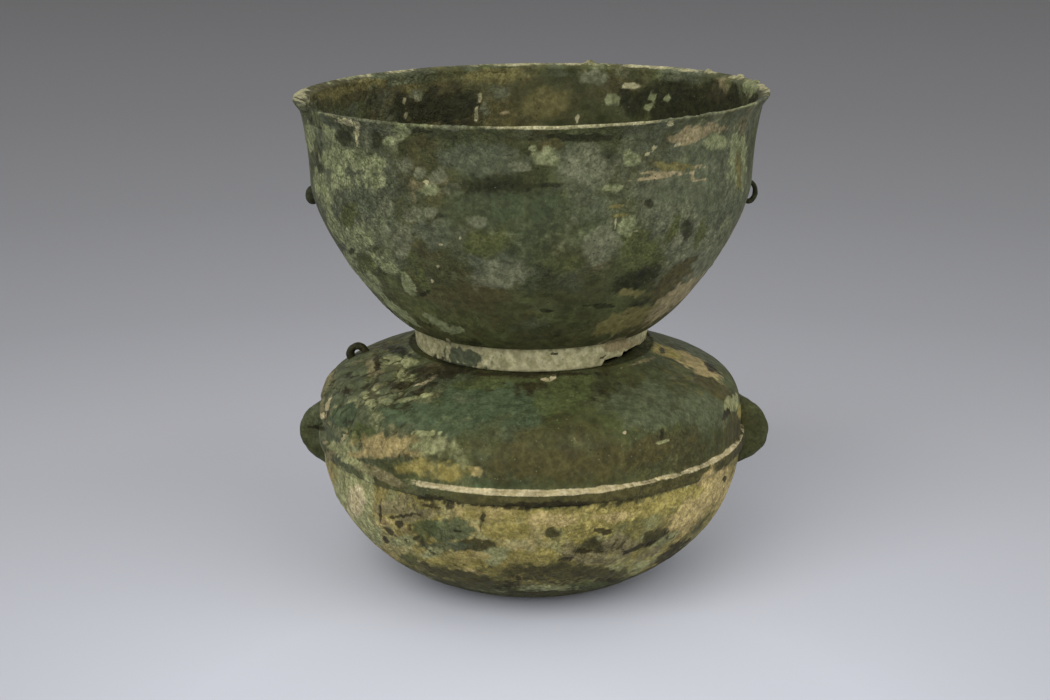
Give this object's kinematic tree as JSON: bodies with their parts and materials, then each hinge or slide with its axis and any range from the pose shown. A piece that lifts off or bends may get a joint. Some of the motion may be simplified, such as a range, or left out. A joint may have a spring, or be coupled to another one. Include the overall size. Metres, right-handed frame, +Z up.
{
  "type": "bronze yan steamer",
  "caption": "Ancient cast steamer: wide flared bowl with a slotted floor and ring foot, standing on a round-bellied pot with a waist flange and ear lugs.",
  "frame": {"origin": "centre of the flat round base of the lower pot, on the surface it stands on", "axes": "+Z up along the common axis of pot and bowl, ear lugs along X, the side seen in the picture facing -Y"},
  "size_m": [0.3017, 0.29, 0.3101],
  "materials": {
    "bowl_bronze": "corroded cast bronze with dull olive, teal and sage crust",
    "pot_bronze": "corroded cast bronze with olive patina and flaking yellow-tan crust"
  },
  "bodies": {
    "root": {"zeng": "bowl_bronze", "fu": "pot_bronze"}
  },
  "joints": []
}
